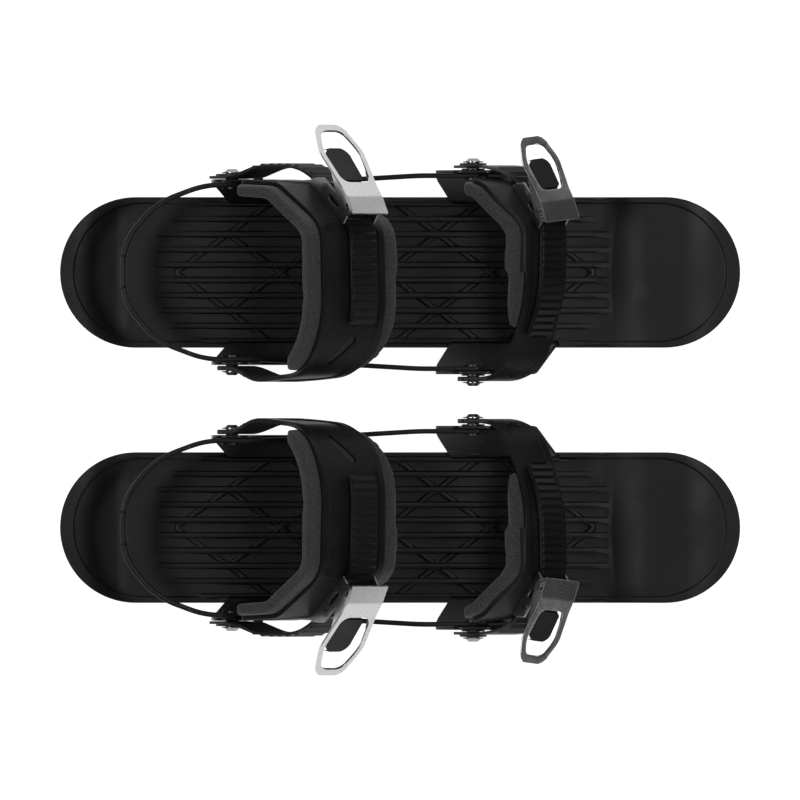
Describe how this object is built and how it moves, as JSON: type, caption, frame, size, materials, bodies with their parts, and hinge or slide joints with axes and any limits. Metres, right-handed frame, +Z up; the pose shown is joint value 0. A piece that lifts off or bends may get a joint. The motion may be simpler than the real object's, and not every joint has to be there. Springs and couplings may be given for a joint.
{
  "type": "mini ski skates",
  "caption": "Pair of short upturned boards with a heel loop and ratchet-buckle ankle and toe straps, worn over winter boots to slide on snow.",
  "frame": {"origin": "on the floor, midway between the two boards and midway along them", "axes": "+X towards the toes, +Y towards the left foot, +Z up"},
  "size_m": [0.44, 0.3558, 0.1477],
  "materials": {
    "deck_plastic": "fine-grained moulded",
    "base_plastic": "smooth sintered",
    "edge_steel": "darkened, ground",
    "coated_steel": "black powder coat",
    "loop_plastic": "fine-grained moulded",
    "fastener_steel": "blackened",
    "bolt_steel": "turned",
    "spring_steel": "drawn wire",
    "rivet_steel": "satin",
    "strap_plastic": "satin moulded",
    "ladder_plastic": "satin moulded",
    "pad_foam": "speckled closed-cell foam",
    "buckle_steel": "brushed",
    "lever_steel": "polished and brushed",
    "paddle_plastic": "moulded"
  },
  "bodies": {
    "left_board": {"left_deck": "deck_plastic", "left_running_base": "base_plastic", "left_steel_edge": "edge_steel", "left_front_bracket": "coated_steel", "left_rear_bracket": "coated_steel", "left_heel_loop": "loop_plastic", "left_base_screws": "fastener_steel", "left_pivot_bolts": "bolt_steel", "left_pivot_nuts": "fastener_steel", "left_pivot_washers": "fastener_steel"},
    "left_ankle_strap": {"left_ankle_shell": "strap_plastic", "left_ankle_pad": "pad_foam", "left_ankle_ladder": "ladder_plastic", "left_ankle_buckle_base": "buckle_steel", "left_ankle_lever_pin": "bolt_steel", "left_ankle_pawl_pin": "bolt_steel", "left_ankle_pawl_spring": "spring_steel", "left_ankle_rivets": "rivet_steel"},
    "left_ankle_lever": {"left_ankle_lever": "lever_steel"},
    "left_ankle_pawl": {"left_ankle_pawl": "paddle_plastic"},
    "left_toe_strap": {"left_toe_shell": "strap_plastic", "left_toe_pad": "pad_foam", "left_toe_ladder": "ladder_plastic", "left_toe_buckle_base": "buckle_steel", "left_toe_lever_pin": "bolt_steel", "left_toe_pawl_pin": "bolt_steel", "left_toe_pawl_spring": "spring_steel", "left_toe_rivets": "rivet_steel"},
    "left_toe_lever": {"left_toe_lever": "lever_steel"},
    "left_toe_pawl": {"left_toe_pawl": "paddle_plastic"},
    "right_board": {"right_deck": "deck_plastic", "right_running_base": "base_plastic", "right_steel_edge": "edge_steel", "right_front_bracket": "coated_steel", "right_rear_bracket": "coated_steel", "right_heel_loop": "loop_plastic", "right_base_screws": "fastener_steel", "right_pivot_bolts": "bolt_steel", "right_pivot_nuts": "fastener_steel", "right_pivot_washers": "fastener_steel"},
    "right_ankle_strap": {"right_ankle_shell": "strap_plastic", "right_ankle_pad": "pad_foam", "right_ankle_ladder": "ladder_plastic", "right_ankle_buckle_base": "buckle_steel", "right_ankle_lever_pin": "bolt_steel", "right_ankle_pawl_pin": "bolt_steel", "right_ankle_pawl_spring": "spring_steel", "right_ankle_rivets": "rivet_steel"},
    "right_ankle_lever": {"right_ankle_lever": "lever_steel"},
    "right_ankle_pawl": {"right_ankle_pawl": "paddle_plastic"},
    "right_toe_strap": {"right_toe_shell": "strap_plastic", "right_toe_pad": "pad_foam", "right_toe_ladder": "ladder_plastic", "right_toe_buckle_base": "buckle_steel", "right_toe_lever_pin": "bolt_steel", "right_toe_pawl_pin": "bolt_steel", "right_toe_pawl_spring": "spring_steel", "right_toe_rivets": "rivet_steel"},
    "right_toe_lever": {"right_toe_lever": "lever_steel"},
    "right_toe_pawl": {"right_toe_pawl": "paddle_plastic"}
  },
  "joints": [
    {"name": "right_skate_glide", "type": "slide", "parent": "left_board", "child": "right_board", "axis": [1, 0, 0], "range_m": [-0.2, 0.2]},
    {"name": "left_ankle_strap_hinge", "type": "hinge", "parent": "left_board", "child": "left_ankle_strap", "pos_m": [-0.1085, 0.0826, 0.064], "axis": [0, 1, 0], "range_deg": [-30, 8]},
    {"name": "left_ankle_lever_hinge", "type": "hinge", "parent": "left_ankle_strap", "child": "left_ankle_lever", "pos_m": [-0.02421, 0.12395, 0.12478], "axis": [0.788, 0, -0.6157], "range_deg": [0, 55]},
    {"name": "left_ankle_pawl_hinge", "type": "hinge", "parent": "left_ankle_strap", "child": "left_ankle_pawl", "pos_m": [-0.03792, 0.1376, 0.10723], "axis": [-0.788, 0, 0.6157], "range_deg": [0, 15], "stiffness_Nm_per_rad": 0.2, "springref_deg": -8.59},
    {"name": "left_toe_strap_hinge", "type": "hinge", "parent": "left_board", "child": "left_toe_strap", "pos_m": [0.0473, 0.0826, 0.052], "axis": [0, 1, 0], "range_deg": [-30, 8]},
    {"name": "left_toe_lever_hinge", "type": "hinge", "parent": "left_toe_strap", "child": "left_toe_lever", "pos_m": [0.10031, 0.12162, 0.09258], "axis": [0.8229, 0.1163, -0.5561], "range_deg": [0, 55]},
    {"name": "left_toe_pawl_hinge", "type": "hinge", "parent": "left_toe_strap", "child": "left_toe_pawl", "pos_m": [0.09003, 0.13536, 0.08023], "axis": [-0.8229, -0.1163, 0.5561], "range_deg": [0, 15], "stiffness_Nm_per_rad": 0.2, "springref_deg": -8.59},
    {"name": "right_ankle_strap_hinge", "type": "hinge", "parent": "right_board", "child": "right_ankle_strap", "pos_m": [-0.1085, -0.0826, 0.064], "axis": [0, 1, 0], "range_deg": [-30, 8]},
    {"name": "right_ankle_lever_hinge", "type": "hinge", "parent": "right_ankle_strap", "child": "right_ankle_lever", "pos_m": [-0.02421, -0.12395, 0.12478], "axis": [-0.788, 0, 0.6157], "range_deg": [0, 55]},
    {"name": "right_ankle_pawl_hinge", "type": "hinge", "parent": "right_ankle_strap", "child": "right_ankle_pawl", "pos_m": [-0.03792, -0.1376, 0.10723], "axis": [0.788, 0, -0.6157], "range_deg": [0, 15], "stiffness_Nm_per_rad": 0.2, "springref_deg": -8.59},
    {"name": "right_toe_strap_hinge", "type": "hinge", "parent": "right_board", "child": "right_toe_strap", "pos_m": [0.0473, -0.0826, 0.052], "axis": [0, 1, 0], "range_deg": [-30, 8]},
    {"name": "right_toe_lever_hinge", "type": "hinge", "parent": "right_toe_strap", "child": "right_toe_lever", "pos_m": [0.10031, -0.12162, 0.09258], "axis": [-0.8229, 0.1163, 0.5561], "range_deg": [0, 55]},
    {"name": "right_toe_pawl_hinge", "type": "hinge", "parent": "right_toe_strap", "child": "right_toe_pawl", "pos_m": [0.09003, -0.13536, 0.08023], "axis": [0.8229, -0.1163, -0.5561], "range_deg": [0, 15], "stiffness_Nm_per_rad": 0.2, "springref_deg": -8.59}
  ]
}
